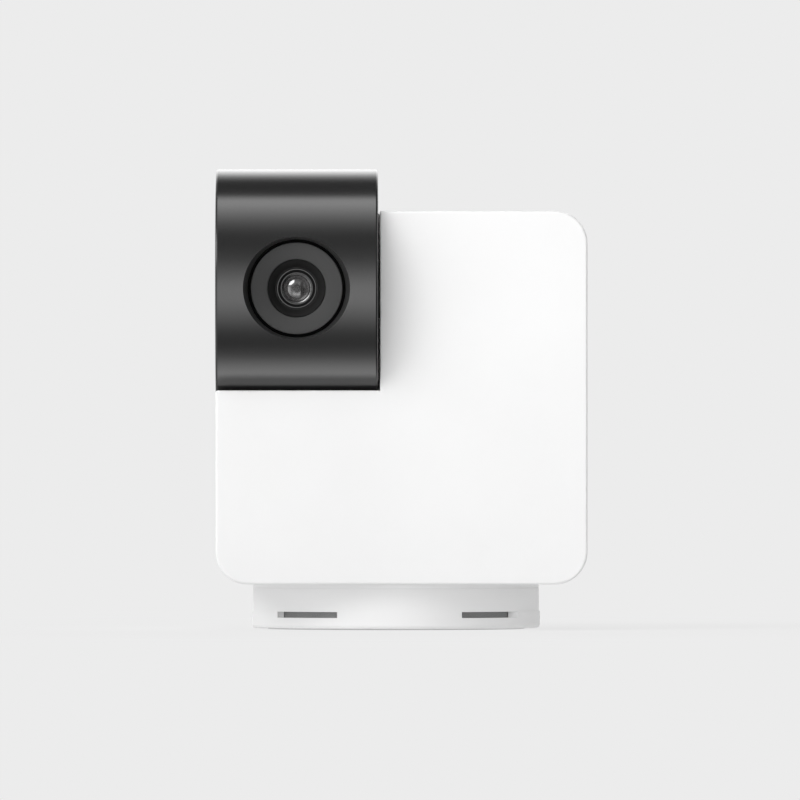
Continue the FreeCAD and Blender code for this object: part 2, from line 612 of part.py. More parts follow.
def make_tilt_bearing():
    start = "notch_end"
    piece(turned("tilt_bushing", [
        ("bushing_bore", 0), ("bushing_radius", 0), ("bushing_radius", "body_wall"),
        ("bushing_radius + bushing_flange", "body_wall"),
        ("bushing_radius + bushing_flange", "body_wall + bushing_flange_thick"),
        ("bushing_bore", "body_wall + bushing_flange_thick"),
    ], (start, "tilt_y", "tilt_height"), "right"), "tilt_bushing")


def motor(label, middle, pinion, ears, way, face):
    """A can with two ears and an offset shaft. face is the mounting plane, and way is where the can stands."""
    def spot(pair, along):
        return (along, *pair) if way == "right" else (*pair, along)

    can = rod(f"{label}_can", "motor_radius", "motor_length", spot(middle, f"{face} + ear_thick"), way)
    boss = rod(f"{label}_boss", "motor_shaft * 2.4", "1.2", spot(pinion, f"{face} - 0.4"), way)
    shaft = rod(f"{label}_shaft", "motor_shaft", "motor_rise + gear_width",
                spot(pinion, f"{face} - motor_rise - gear_width + 0.3"), way)
    plate = [rod(f"{label}_face", "motor_radius", "ear_thick", spot(middle, face), way)]
    plate += [rod(f"{label}_ear_{i}", "ear_radius", "ear_thick", spot(ear, face), way)
              for i, ear in enumerate(ears)]
    holes = [rod(f"{label}_hole_{i}", "screw_hole", "ear_thick + 1", spot(ear, f"{face} - 0.5"), way)
             for i, ear in enumerate(ears)]
    return piece(cut(label, fuse(f"{label}_solid", [can, boss, shaft] + plate), holes), label)


def mesh_phase(direction, teeth_alias):
    """How far a pinion is turned so that it meshes with a gear whose first tooth points at 0 degrees."""
    gear_pitch = 360 / value(teeth_alias)
    pinion_pitch = 360 / value("pinion_teeth")
    part_tooth = direction / gear_pitch % 1
    return direction + 180 + (part_tooth + 0.5) * pinion_pitch


def make_motors(spots):
    pan_face = "gear_top + motor_rise"
    tilt_face = "gear_seat + gear_width + 1.5"
    motor("pan_motor", spots["pan_middle"], ("pan_distance", "0"), spots["pan_ears"], "up", pan_face)
    motor("tilt_motor", spots["tilt_middle"], spots["tilt_pinion"], spots["tilt_ears"], "right", tilt_face)
    bore = value("motor_shaft") + 0.02
    gear("pan_pinion", "pinion_teeth", bore, ("pan_distance", "0", "spindle_top"), "up",
         mesh_phase(0, "pan_teeth"))
    gear("tilt_pinion", "pinion_teeth", bore, ("gear_seat", *spots["tilt_pinion"]), "right",
         mesh_phase(45, "tilt_teeth"))
    heads = [screw(f"pan_motor_screw_{i}", (x, y, f"{pan_face} + ear_thick"), "up", "motor_screw_length")
             for i, (x, y) in enumerate(spots["pan_ears"])]
    heads += [screw(f"tilt_motor_screw_{i}", (f"{tilt_face} + ear_thick", y, z), "right",
                    "motor_screw_length") for i, (y, z) in enumerate(spots["tilt_ears"])]
    piece(group("motor_screws", heads), "motor_screws")


def make_board():
    """The main board on the rear shell's posts, with its chips, heat sink and card socket."""
    plate = block("board_plate", ("board_low_x", "board_front", "board_bottom"),
                  ("board_width", "board_thick", "board_top - board_bottom"))
    holes = [rod(f"board_hole_{i}", "screw_hole", 4, (x, "board_front - 1", z), "back")
             for i, (x, z) in enumerate(board_holes())]
    piece(cut("main_board", plate, holes), "main_board")
    chip_y = "board_front - chip_thick"
    chips = [block("chip_main", ("board_mid_x - chip_width / 2", chip_y, "board_mid_z - chip_width / 2"),
                   ("chip_width", "chip_thick", "chip_width"))]
    for name, width, low in (("chip_memory", "chip_width * 0.7", "-chip_width * 1.4 - chip_space"),
                             ("chip_radio", "chip_width * 0.8", "chip_width / 2 + chip_space")):
        chips.append(block(name, (f"board_mid_x - {width} / 2", chip_y, f"board_mid_z + {low}"),
                           (width, "chip_thick", "chip_width * 0.8")))
    piece(group("chips", chips), "chips")
    sink_x = "board_mid_x - sink_width / 2"
    sink_z = "board_mid_z - sink_width / 2"
    plate = block("sink_plate", (sink_x, f"{chip_y} - 1.2", sink_z), ("sink_width", "1.2", "sink_width"))
    gap = "(sink_width - fin_thick) / (fin_count - 1)"
    fins = [block(f"fin_{i}", (f"{sink_x} + {i} * {gap}", f"{chip_y} - sink_height", sink_z),
                  ("fin_thick", "sink_height - 1", "sink_width")) for i in range(int(value("fin_count")))]
    piece(fuse("heat_sink", [plate] + fins), "heat_sink")
    card_low = "card_height - card_width / 2"
    shell = block("card_shell", ("board_low_x - 0.6", "board_back", card_low),
                  ("card_length", "card_thick", "card_width"))
    mouth = block("card_mouth", ("board_low_x - 1.6", "board_back + 0.35", f"{card_low} + 1"),
                  ("card_length - 1", "card_thick - 0.7", "card_width - 2"))
    piece(cut("card_socket", shell, [mouth]), "card_socket")
    piece(group("board_screws", [
        screw(f"board_screw_{i}", (x, "board_front", z), "front", "board_screw_length")
        for i, (x, z) in enumerate(board_holes())]), "board_screws")


def make_rear_details(bosses):
    inner_end = "back_inside - button_gap - button_flange_thick - 1"
    length = f"body_depth / 2 + button_proud - ({inner_end})"
    piece(turned("reset_button", [
        (0, 0), ("button_radius * 0.6", 0), ("button_radius * 0.6", 1), ("button_radius + button_flange", 1),
        ("button_radius + button_flange", "1 + button_flange_thick"),
        ("button_radius", "1 + button_flange_thick"),
        ("button_radius", f"{length} - 0.3"), ("button_radius - 0.3", length), (0, length),
    ], ("button_x", inner_end, "button_height"), "back"), "reset_button")
    piece(block("reset_switch", ("button_x - switch_width / 2", "board_back",
                                 "button_height - switch_width / 2"),
                ("switch_width", f"{inner_end} - button_travel - 0.3 - board_back", "switch_width")),
          "reset_switch")
    piece(rod("microphone", "mic_radius", "mic_thick", ("mic_x", "board_back", "mic_height"), "back"),
          "microphone")
    piece(block("antenna", ("body_right - body_wall - antenna_thick", "-antenna_length / 2",
                            "body_top - antenna_drop - antenna_height"),
                ("antenna_thick", "antenna_length", "antenna_height")), "antenna")
    piece(group("shell_screws", [
        screw(f"shell_screw_{i}", (x, "body_depth / 2 - screw_sink", z), "back",
              "back_shell_depth - screw_sink + 5") for i, (x, z) in enumerate(bosses)]), "shell_screws")


def lens_spot():
    """Turned parts of the lens stand on the lens's axis, measured forward from the tilt axis."""
    return ("lens_x", "tilt_y", "tilt_height")


def make_head():
    """The drum that tilts, with its end caps, its journal and the camera."""
    make_head_shell()
    make_head_caps()
    make_lens()
    make_camera()


def make_head_shell():
    drum = turned("drum", [
        ("head_inside", 0), ("head_radius - head_round", 0),
        ("head_radius - head_round * 0.3", "head_round * 0.3"),
        ("head_radius", "head_round"), ("head_radius", "head_length - head_round"),
        ("head_radius - head_round * 0.3", "head_length - head_round * 0.3"),
        ("head_radius - head_round", "head_length"), ("head_inside", "head_length"),
    ], ("-body_left", "tilt_y", "tilt_height"), "right")
    collar = common("collar", turned("collar_bar", [
        (0, "collar_back"), ("collar_radius", "collar_back"), ("collar_radius", "head_radius + 1"),
        (0, "head_radius + 1"),
    ], lens_spot(), "front"), drum_bar("collar_limit", "head_radius - 0.05", "-body_left", "head_end"))
    diagonal = [("lens_x + post_spread", "tilt_height + post_spread"),
                ("lens_x - post_spread", "tilt_height - post_spread")]
    posts = [rod(f"camera_post_{i}", "standoff_radius", "collar_back + 0.4 - camera_board_front",
                 (x, "tilt_y - camera_board_front", z), "front") for i, (x, z) in enumerate(diagonal)]
    slope = "(mouth_radius - throat_radius) / recess_depth"
    mouth = turned("mouth", [
        (0, "collar_back - 1"), ("throat_radius - shelf_width", "collar_back - 1"),
        ("throat_radius - shelf_width", "shelf_front"), ("throat_radius", "shelf_front"),
        ("throat_radius", "bezel_front"), (f"mouth_radius + {slope} * 2", "head_radius + 2"),
        (0, "head_radius + 2"),
    ], lens_spot(), "front")
    taps = [rod(f"camera_tap_{i}", "screw_hole", 6, (x, "tilt_y - camera_board_front + 1", z), "front")
            for i, (x, z) in enumerate(diagonal)]
    piece(cut("head_shell", fuse("head_solid", [drum, collar] + posts), [mouth] + taps), "head_shell")
    piece(group("head_screws", [
        screw(f"head_screw_{i}", (x, "tilt_y - camera_board_front + board_thick", z), "back",
              "head_screw_length") for i, (x, z) in enumerate(diagonal)]), "head_screws")


def make_head_caps():
    rim = "head_inside - 0.05"
    piece(turned("head_end_cap", [
        (0, "cap_inset"), (f"{rim} - 0.3", "cap_inset"), (rim, "cap_inset + 0.3"), (rim, "cap_thick"),
        (f"{rim} - cap_rib_inset", "cap_thick"), (f"{rim} - cap_rib_inset", "cap_thick + cap_rib"),
        (f"{rim} - cap_rib_inset - cap_rib_thick", "cap_thick + cap_rib"),
        (f"{rim} - cap_rib_inset - cap_rib_thick", "cap_thick"), (0, "cap_thick"),
    ], ("-body_left", "tilt_y", "tilt_height"), "right"), "head_end_cap")
    seat = "gear_seat - head_end"
    piece(turned("head_hub_cap", [
        ("journal_bore", "-cap_thick"), (rim, "-cap_thick"), (rim, 0), ("journal_radius", 0),
        ("journal_radius", seat), ("gear_seat_radius", seat),
        ("gear_seat_radius", f"{seat} + gear_width + clip_thick + 0.1"),
        ("journal_bore", f"{seat} + gear_width + clip_thick + 0.1"),
    ], ("head_end", "tilt_y", "tilt_height"), "right"), "head_hub_cap")
    gear("tilt_gear", "tilt_teeth", value("gear_seat_radius") + 0.05, ("gear_seat", "tilt_y", "tilt_height"),
         "right", 0)
    piece(ring("gear_clip", "gear_seat_radius + 0.02", "gear_seat_radius + clip_width", 0, "clip_thick",
               ("gear_seat + gear_width", "tilt_y", "tilt_height"), "right"), "gear_clip")


def make_lens():
    groove = "bezel_front - bezel_front_wall"
    outer = "bezel_radius - bezel_outer_wall"
    inner = "lens_hole + bezel_inner_wall"
    piece(turned("lens_bezel", [
        ("lens_hole", "light_front"), (inner, "light_front"), (inner, groove), (outer, groove),
        (outer, "light_front"), ("bezel_radius", "light_front"), ("bezel_radius", "bezel_front - 0.1"),
        ("bezel_radius - 0.1", "bezel_front"), ("lens_hole + 0.1", "bezel_front"),
        ("lens_hole", "bezel_front - 0.1"),
    ], lens_spot(), "front"), "lens_bezel")
    piece(ring("light_board", "lens_hole + 0.1", "bezel_radius", "shelf_front", "light_front", lens_spot(),
               "front"), "light_board")
    lamp_ring = f"({inner} + {outer}) / 2"
    lamps = [prism(f"lamp_{angle}", "lamp_radius", "lamp_height",
                   (f"lens_x + {lamp_ring} * cos({angle})", "tilt_y - light_front",
                    f"tilt_height + {lamp_ring} * sin({angle})"), "front") for angle in range(0, 360, 45)]
    piece(group("night_lights", lamps), "night_lights")
    piece(turned("lens_hood", [
        ("barrel_radius + 0.1", "shelf_front - hood_foot"), ("lens_hole - 0.1", "shelf_front - hood_foot"),
        ("lens_hole - 0.1", "bezel_front - hood_lip"),
        ("lens_hole - 0.1 - hood_lip", "bezel_front - hood_lip"),
        ("barrel_radius + 0.1", "barrel_front - hood_drop"),
    ], lens_spot(), "front"), "lens_hood")
    piece(turned("lens_barrel", [
        ("glass_radius - barrel_wall", "barrel_back"), ("barrel_radius", "barrel_back"),
        ("barrel_radius", "barrel_front - 0.3"), ("barrel_radius - 0.3", "barrel_front"),
        ("glass_radius + 0.6", "barrel_front"), ("glass_radius + 0.45", "barrel_front - 0.4"),
        ("glass_radius + 0.05", "barrel_front - 0.6"), ("glass_radius + 0.05", "glass_back"),
        ("glass_radius - barrel_wall", "glass_back"),
    ], lens_spot(), "front"), "lens_barrel")
    # The glass bulges forward in five short steps of a circle's arc.
    arc = [("glass_radius", "glass_edge")]
    arc += [(f"glass_radius * cos({angle})", f"glass_edge + glass_dome * sin({angle})")
            for angle in range(18, 90, 18)]
    piece(turned("lens_glass", [(0, "glass_back"), ("glass_radius", "glass_back")] + arc
                 + [(0, "glass_edge + glass_dome")], lens_spot(), "front"), "lens_glass")


def square_behind(name, width, near, thick):
    """A square block on the lens's axis whose front face is near from the tilt axis."""
    return block(name, (f"lens_x - ({width}) / 2", f"tilt_y - ({near})", f"tilt_height - ({width}) / 2"),
                 (width, thick, width))


def make_camera():
    """The square holder, filter, sensor and board behind the lens barrel."""
    case = square_behind("holder_case", "holder_width", "holder_front", "holder_depth")
    well = square_behind("holder_well", "sensor_width + 0.6",
                         "camera_board_front + sensor_thick + filter_thick + 0.3",
                         "sensor_thick + filter_thick + 1.3")
    seat = rod("holder_seat", "barrel_radius + 0.02", "holder_depth + 2",
               ("lens_x", "tilt_y - barrel_back", "tilt_height"), "front")
    view = rod("holder_view", "glass_radius - barrel_wall", "holder_depth + 2",
               ("lens_x", "tilt_y - holder_front + holder_depth + 1", "tilt_height"), "front")
    piece(cut("lens_holder", case, [well, seat, view]), "lens_holder")
    piece(square_behind("filter_glass", "sensor_width", "camera_board_front + sensor_thick + filter_thick",
                        "filter_thick"), "filter_glass")
    piece(square_behind("image_sensor", "sensor_width", "camera_board_front + sensor_thick", "sensor_thick"),
          "image_sensor")
    plate = square_behind("camera_plate", "camera_board_width", "camera_board_front", "board_thick")
    holes = [rod(f"camera_hole_{i}", "screw_hole", 4,
                 (f"lens_x {sign} post_spread", "tilt_y - camera_board_front + board_thick + 1",
                  f"tilt_height {sign} post_spread"), "front") for i, sign in enumerate("+-")]
    piece(cut("camera_board", plate, holes), "camera_board")


def main():
    make_base()
    make_body()
    make_head()
    doc.recompute()
    write_parts()


def write_parts():
    failed = [item.Name for item in doc.Objects if {"Invalid", "Error"} & set(item.State)]
    if failed:
        raise RuntimeError(f"failed: {failed}")
    for item in PIECES:
        shape = item.Shape
        if shape.isNull() or not shape.isValid() or not shape.Solids:
            raise RuntimeError(f"{item.Label} has no valid solid")
    os.makedirs("parts", exist_ok=True)
    for item in PIECES:
        item.Shape.exportStep(f"parts/{item.Label}.step")
    print(len(PIECES), "pieces written")


main()
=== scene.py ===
import bpy
import bmesh
import json
import math
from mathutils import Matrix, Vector


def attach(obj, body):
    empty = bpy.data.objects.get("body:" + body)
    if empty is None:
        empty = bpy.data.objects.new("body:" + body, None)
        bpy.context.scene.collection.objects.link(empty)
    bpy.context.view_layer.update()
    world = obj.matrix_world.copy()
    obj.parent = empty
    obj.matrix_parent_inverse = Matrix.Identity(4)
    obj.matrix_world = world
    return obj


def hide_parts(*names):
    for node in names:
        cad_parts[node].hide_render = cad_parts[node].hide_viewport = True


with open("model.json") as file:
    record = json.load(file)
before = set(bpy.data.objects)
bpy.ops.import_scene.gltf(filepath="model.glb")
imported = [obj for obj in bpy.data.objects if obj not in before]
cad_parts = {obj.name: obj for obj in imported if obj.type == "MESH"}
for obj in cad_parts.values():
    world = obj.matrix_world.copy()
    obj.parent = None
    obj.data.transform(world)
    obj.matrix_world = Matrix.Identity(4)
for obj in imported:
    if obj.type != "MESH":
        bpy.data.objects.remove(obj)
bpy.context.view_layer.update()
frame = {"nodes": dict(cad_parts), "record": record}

MM = 0.001
# The picture's frame: 800 x 800, and the scale at the body's front face.
IMAGE = 800
PIXEL = 0.2 * MM
AXIS_PIXEL_X = 396
FLOOR_PIXEL_Y = 630.5
FRONT_Y = -33 * MM
CAMERA_DISTANCE = 4.0
SENSOR = 36.0
# A point on the head's tilt axis, and the point where the lens's axis crosses the tilt axis.
TILT = Vector((0, -19, 68.4)) * MM
LENS = Vector((-19.85 * MM, TILT.y, TILT.z))


def linear(level):
    """A display level of 0 to 255 as the shader's linear value."""
    share = level / 255
    return share / 12.92 if share <= 0.04045 else ((share + 0.055) / 1.055) ** 2.4


def grey(level):
    return (linear(level),) * 3


# The background and the ground.
PALE = (*grey(236), 1)


def make_camera():
    """A long lens that looks straight at the front, level with the picture's middle."""
    data = bpy.data.cameras.new("camera")
    camera = bpy.data.objects.new("camera", data)
    bpy.context.collection.objects.link(camera)
    middle_x = (IMAGE / 2 - AXIS_PIXEL_X) * PIXEL
    middle_z = (FLOOR_PIXEL_Y - IMAGE / 2) * PIXEL
    camera.location = (middle_x, FRONT_Y - CAMERA_DISTANCE, middle_z)
    camera.rotation_euler = (math.radians(90), 0, 0)
    data.sensor_width = SENSOR
    data.lens = SENSOR * CAMERA_DISTANCE / (IMAGE * PIXEL)
    data.clip_start = 0.05
    data.clip_end = 50
    bpy.context.scene.camera = camera


# Nodes --------------------------------------------------------------------------------------------


class Nodes:
    """Adds nodes to the tree of a material or of the world."""

    def __init__(self, owner, clear=False):
        owner.use_nodes = True
        self.owner, self.tree = owner, owner.node_tree
        if clear:
            self.tree.nodes.clear()

    def add(self, kind, **settings):
        """A node with its settings. In the name of an input, _ stands for a space."""
        node = self.tree.nodes.new(kind)
        for key, setting in settings.items():
            if hasattr(node, key):
                setattr(node, key, setting)
            else:
                node.inputs[key.replace("_", " ")].default_value = setting
        return node

    def link(self, source, target):
        self.tree.links.new(source, target)

    @property
    def shader(self):
        return next(node for node in self.tree.nodes if node.type == "BSDF_PRINCIPLED")

    def feed(self, name, source):
        """Links a source to one of the shader's inputs."""
        self.link(source, self.shader.inputs[name])

    def texture(self, kind, output="Fac", stretch=None, **settings):
        """A texture laid over the object's own coordinates, which may be stretched."""
        node = self.add(f"ShaderNodeTex{kind}", **settings)
        place = self.add("ShaderNodeTexCoord").outputs["Object"]
        if stretch:
            scale = self.add("ShaderNodeMapping", Scale=stretch)
            self.link(place, scale.inputs["Vector"])
            place = scale.outputs["Vector"]
        self.link(place, node.inputs["Vector"])
        return node.outputs[output]

    def math(self, operation, *inputs):
        node = self.add("ShaderNodeMath", operation=operation)
        for socket, given in zip(node.inputs, inputs):
            if isinstance(given, (int, float)):
                socket.default_value = given
            else:
                self.link(given, socket)
        return node.outputs[0]

    def follow(self, source, low, high, start=0.0, end=1.0, kind="LINEAR"):
        """Goes from start to end as the source goes from low to high."""
        node = self.add("ShaderNodeMapRange", interpolation_type=kind, From_Min=low, From_Max=high,
                        To_Min=start, To_Max=end)
        self.link(source, node.inputs["Value"])
        return node.outputs["Result"]

    def distance(self, centre, axes):
        """How far a point is from the centre in metres, measured only along the axes that are marked 1."""
        offset = self.add("ShaderNodeVectorMath", operation="SUBTRACT")
        offset.inputs[1].default_value = centre
        flat = self.add("ShaderNodeVectorMath", operation="MULTIPLY")
        flat.inputs[1].default_value = axes
        far = self.add("ShaderNodeVectorMath", operation="LENGTH")
        self.link(self.add("ShaderNodeTexCoord").outputs["Object"], offset.inputs[0])
        self.link(offset.outputs[0], flat.inputs[0])
        self.link(flat.outputs[0], far.inputs[0])
        return far.outputs["Value"]

    def blend(self, share, low, high, start=0.0, end=1.0, kind="LINEAR"):
        """The colour low up to the share start, high from the share end, and a blend between them."""
        node = self.add("ShaderNodeValToRGB")
        node.color_ramp.interpolation = kind
        for element, spot, colour in zip(node.color_ramp.elements, (start, end), (low, high)):
            element.position = spot
            element.color = (*colour, 1)
        self.link(share, node.inputs["Fac"])
        return node.outputs["Color"]

    def curve(self, source, low, high, stops, top):
        """A brightness that follows the source from low to high through the stops, none of them over top."""
        node = self.add("ShaderNodeValToRGB")
        self.link(self.follow(source, low, high), node.inputs["Fac"])
        elements = node.color_ramp.elements
        while len(elements) > 1:
            elements.remove(elements[-1])
        for i, (spot, level) in enumerate(stops):
            share = (spot - low) / (high - low)
            element = elements[0] if i == 0 else elements.new(share)
            element.position = share
            element.color = (level / top,) * 3 + (1,)
        return self.math("MULTIPLY", node.outputs["Color"], top)

    def between(self, share, full, none):
        """The brightness full where the share is 1, none where it is 0, and a blend between them."""
        return self.math("ADD", self.math("MULTIPLY", full, share),
                         self.math("MULTIPLY", none, self.math("SUBTRACT", 1.0, share)))

    def swap(self, share, before, after):
        """What is linked as before, and after, a colour or a number, where the share is 1."""
        kind, first, second, out = ("FLOAT", 2, 3, 0) if isinstance(after, float) else ("RGBA", 6, 7, 2)
        node = self.add("ShaderNodeMix", data_type=kind)
        self.link(share, node.inputs["Factor"])
        self.link(before, node.inputs[first])
        node.inputs[second].default_value = after
        return node.outputs[out]

    def mix_shaders(self, share, none, full):
        node = self.add("ShaderNodeMixShader")
        for source, socket in zip((share, none, full), node.inputs):
            self.link(source, socket)
        return node.outputs[0]

    def emboss(self, height, strength, depth):
        """A fine relief in the surface."""
        node = self.add("ShaderNodeBump", Strength=strength, Distance=depth)
        self.link(height, node.inputs["Height"])
        self.feed("Normal", node.outputs["Normal"])


# Materials ----------------------------------------------------------------------------------------


def surface(name, **settings):
    """The nodes of a new material, with a shader that has these settings."""
    nodes = Nodes(bpy.data.materials.new(name), clear=True)
    shader = nodes.add("ShaderNodeBsdfPrincipled", **settings)
    nodes.link(shader.outputs["BSDF"], nodes.add("ShaderNodeOutputMaterial").inputs["Surface"])
    return nodes


def shaded(colour, share):
    return [part * share for part in colour]


def plastic(name, dark, light, roughness, grain, bump, spread=0.05, specular=0.5):
    """Moulded plastic: a fine spark-eroded grain, a slow drift between two greys and an uneven gloss."""
    nodes = surface(name, Specular_IOR_Level=specular)
    slow = nodes.texture("Noise", Scale=35.0, Detail=3.0)
    fine = nodes.texture("Noise", Scale=grain, Detail=4.0, Roughness=0.6)
    nodes.feed("Base Color", nodes.blend(slow, grey(dark), grey(light), 0.3, 0.7))
    nodes.feed("Roughness", nodes.follow(fine, 0, 1, roughness - spread, roughness + spread))
    nodes.emboss(fine, bump, 0.02 * MM)
    return nodes.owner


def metal(name, colour, roughness):
    """Plated or brushed metal with fine drawn lines."""
    nodes = surface(name, Metallic=1.0)
    lines = nodes.texture("Noise", stretch=(1, 1, 30), Scale=900.0, Detail=3.0)
    nodes.feed("Base Color", nodes.blend(lines, shaded(colour, 0.85), colour))
    nodes.feed("Roughness", nodes.follow(lines, 0, 1, roughness * 0.7, roughness * 1.3))
    return nodes.owner


def board(name, mask, track, gold):
    """Circuit board: a dark mask with lighter tracks under it, and small gold pads."""
    nodes = surface(name)
    cells = nodes.texture("Voronoi", "Distance", Scale=420.0, distance="CHEBYCHEV", feature="F1")
    pads = nodes.texture("Voronoi", "Distance", Scale=650.0, feature="F1")
    grain = nodes.texture("Noise", Scale=1500.0, Detail=2.0)
    tracks = nodes.blend(cells, mask, track, 0, 0.42, "CONSTANT")
    dots = nodes.math("LESS_THAN", pads, 0.16)
    nodes.feed("Base Color", nodes.swap(dots, tracks, (*gold, 1)))
    nodes.feed("Metallic", dots)
    nodes.feed("Roughness", nodes.follow(grain, 0, 1, 0.28, 0.4))
    nodes.emboss(tracks, 0.4, 0.03 * MM)
    return nodes.owner


def glass(name, tint, rough, index=1.6):
    """Coated glass with a slight tint that drifts, and a gloss that is hardly uneven."""
    nodes = surface(name, Transmission_Weight=0.97, IOR=index, Coat_Weight=0.15, Coat_Roughness=0.03)
    drift = nodes.texture("Noise", Scale=400.0, Detail=2.0)
    nodes.feed("Base Color", nodes.blend(drift, shaded(tint, 0.8), tint))
    nodes.feed("Roughness", nodes.follow(drift, 0, 1, rough, rough * 1.6))
    return nodes.owner


def shade_gauze(name, gap, thread):
    """A fine plain weave: rows of round threads with dark gaps between them."""
    nodes = surface(name, Roughness=0.8)
    rows = [nodes.texture("Wave", Scale=1600.0, Distortion=0.3, wave_type="BANDS", bands_direction=way)
            for way in "XZ"]
    weave = nodes.math("MAXIMUM", *rows)
    nodes.feed("Base Color", nodes.blend(weave, gap, thread, 0.35, 0.6))
    nodes.emboss(weave, 0.6, 0.04 * MM)
    return nodes.owner


# Moulded parts: their darkest and lightest grey, roughness, the scale and relief of the grain, and what
# else differs.
PLASTICS = {
    "white_shell": (243, 246, 0.48, 2500.0, 0.12, {"specular": 0.22}),
    "head_dark": (25, 28, 0.21, 3000.0, 0.05, {"spread": 0.03, "specular": 0.56}),
    "head_cap": (25, 28, 0.4, 3000.0, 0.08, {"specular": 0.4}),
    "bezel_dark": (47, 51, 0.6, 4000.0, 0.2, {}),
    "lens_black": (14, 18, 0.38, 4000.0, 0.1, {}),
    "hood_black": (28, 33, 0.5, 4000.0, 0.06, {"spread": 0.03, "specular": 0.2}),
    "barrel_black": (7, 10, 0.6, 4000.0, 0.2, {"specular": 0.1}),
    "trim_black": (12, 16, 0.2, 4000.0, 0.05, {"spread": 0.03}),
    "foam_black": (8, 12, 0.9, 3000.0, 0.6, {"specular": 0.1}),
    "foot_rubber": (196, 204, 0.8, 1800.0, 0.5, {}),
    "grey_acetal": (246, 250, 0.4, 1500.0, 0.1, {}),
    "dark_acetal": (38, 44, 0.4, 1500.0, 0.1, {}),
    "black_plastic": (24, 30, 0.5, 2500.0, 0.3, {}),
    "button_grey": (178, 186, 0.45, 2500.0, 0.15, {}),
    "lamp_clear": (190, 205, 0.15, 1200.0, 0.05, {}),
}
# Metal parts: their colour and roughness.
METALS = {
    "brass": ((0.72, 0.52, 0.24), 0.3),
    "steel": ((0.62, 0.62, 0.62), 0.3),
    "motor_steel": ((0.66, 0.66, 0.65), 0.35),
    "sink_aluminium": ((0.75, 0.75, 0.77), 0.4),
    "ring_dark": ((0.22, 0.22, 0.22), 0.27),
}
MATERIALS = {name: plastic(name, *numbers, **others) for name, (*numbers, others) in PLASTICS.items()}
MATERIALS.update({name: metal(name, *numbers) for name, numbers in METALS.items()})
MATERIALS["circuit_board"] = board("circuit_board", (0.008, 0.05, 0.02), (0.02, 0.1, 0.04), (0.7, 0.5, 0.2))
# The gauze's two greys are painted shade for the inside of the base's slots.
MATERIALS["shade_gauze"] = shade_gauze("shade_gauze", grey(88), grey(168))
MATERIALS["inner_glass"] = glass("inner_glass", (0.5, 0.45, 0.4), 0.02)
MATERIALS["lens_glass"] = glass("lens_glass", (0.3, 0.29, 0.29), 0.03, 1.5)
MATERIALS["filter_glass"] = glass("filter_glass", (0.5, 0.2, 0.25), 0.05)
# The caps at the head's ends are matter than its skin.
NODE_MATERIALS = {"head_end_cap": "head_cap", "head_hub_cap": "head_cap"}


def paint_mouth_light(material, reach, radius, colour, roughness):
    """The wall of the lens mouth is painted a paler, matter grey than the glossy skin round it: painted
    light, brighter than the recess is lit.

    It is what lies within reach of the lens's axis and inside the drum's radius round the tilt axis."""
    nodes = Nodes(material)
    wall = nodes.math("MULTIPLY", nodes.math("LESS_THAN", nodes.distance(LENS, (1, 0, 1)), reach),
                      nodes.math("LESS_THAN", nodes.distance(TILT, (0, 1, 1)), radius))
    for name, given in (("Base Color", (*colour, 1)), ("Roughness", roughness)):
        before = nodes.shader.inputs[name].links[0].from_socket
        nodes.feed(name, nodes.swap(wall, before, given))


def coat_lens(material, inner, outer, middle, rim):
    """The front glass's coating takes most of the mirror out of its middle, and thins between two radii."""
    nodes = Nodes(material)
    nodes.feed("IOR", nodes.follow(nodes.distance(LENS, (1, 0, 1)), inner, outer, middle, rim, "SMOOTHSTEP"))


def dress_nodes():
    """Every CAD node takes the material of its slot, but for the few that have one of their own."""
    coat_lens(MATERIALS["lens_glass"], inner=0.6 * MM, outer=1.4 * MM, middle=1.3, rim=2.8)
    # The paler grey on the wall of the lens mouth is painted light.
    paint_mouth_light(MATERIALS["head_dark"], reach=11 * MM, radius=23.95 * MM, colour=grey(44), roughness=0.5)
    for part in frame["record"]["subparts"]:
        for holder in frame["nodes"][part["node"]].material_slots:
            holder.material = MATERIALS[NODE_MATERIALS.get(part["node"], part["material_slot"])]


# Pieces -------------------------------------------------------------------------------------------


UP, FORWARD, BACKWARD = (0, 0, 1), (0, -1, 0), (0, 1, 0)
ORIGIN = Vector((0, 0, 0))
# Vertices nearer than this are one, in metres.
MERGE = 1e-7


def circle(sides):
    """The corners of a round outline of radius 1, as (x, y)."""
    turns = [2 * math.pi * i / sides for i in range(sides)]
    return [(math.cos(turn), math.sin(turn)) for turn in turns]


def add_piece(name, bm, body, slot, replaces=(), look=None, sharp=32):
    """Turns a bmesh into a piece that rides on a body.

    It is smooth but for the edges that bend more than sharp degrees. Its material is its slot's, unless it
    has a look of its own."""
    bmesh.ops.remove_doubles(bm, verts=bm.verts, dist=MERGE)
    bmesh.ops.recalc_face_normals(bm, faces=bm.faces)
    for face in bm.faces:
        face.smooth = True
    for edge in bm.edges:
        edge.smooth = not (len(edge.link_faces) == 2 and edge.calc_face_angle(0) > math.radians(sharp))
    mesh = bpy.data.meshes.new(name)
    bm.to_mesh(mesh)
    bm.free()
    mesh.materials.append(MATERIALS[look or slot])
    item = bpy.data.objects.new(name, mesh)
    bpy.context.collection.objects.link(item)
    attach(item, body)
    if replaces:
        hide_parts(*replaces)


def lathe(bm, profile, origin, axis, sides=128):
    """Turns a closed profile of (radius, height) in millimetres about an axis through the origin."""
    turn = Vector((0, 0, 1)).rotation_difference(Vector(axis)).to_matrix()
    rings = []
    for radius, height in profile:
        # On the axis itself one vertex stands for the whole ring.
        spots = [(radius * x, radius * y) for x, y in circle(sides)] if radius > 0 else [(0, 0)]
        rings.append([bm.verts.new(turn @ Vector((x, y, height)) * MM + origin) for x, y in spots])
    for low, high in zip(rings, rings[1:] + rings[:1]):
        for i in range(sides):
            corners = [low[i % len(low)], low[(i + 1) % len(low)],
                       high[(i + 1) % len(high)], high[i % len(high)]]
            corners = [corner for k, corner in enumerate(corners) if corner not in corners[:k]]
            if len(corners) > 2:
                bm.faces.new(corners)
    return bm


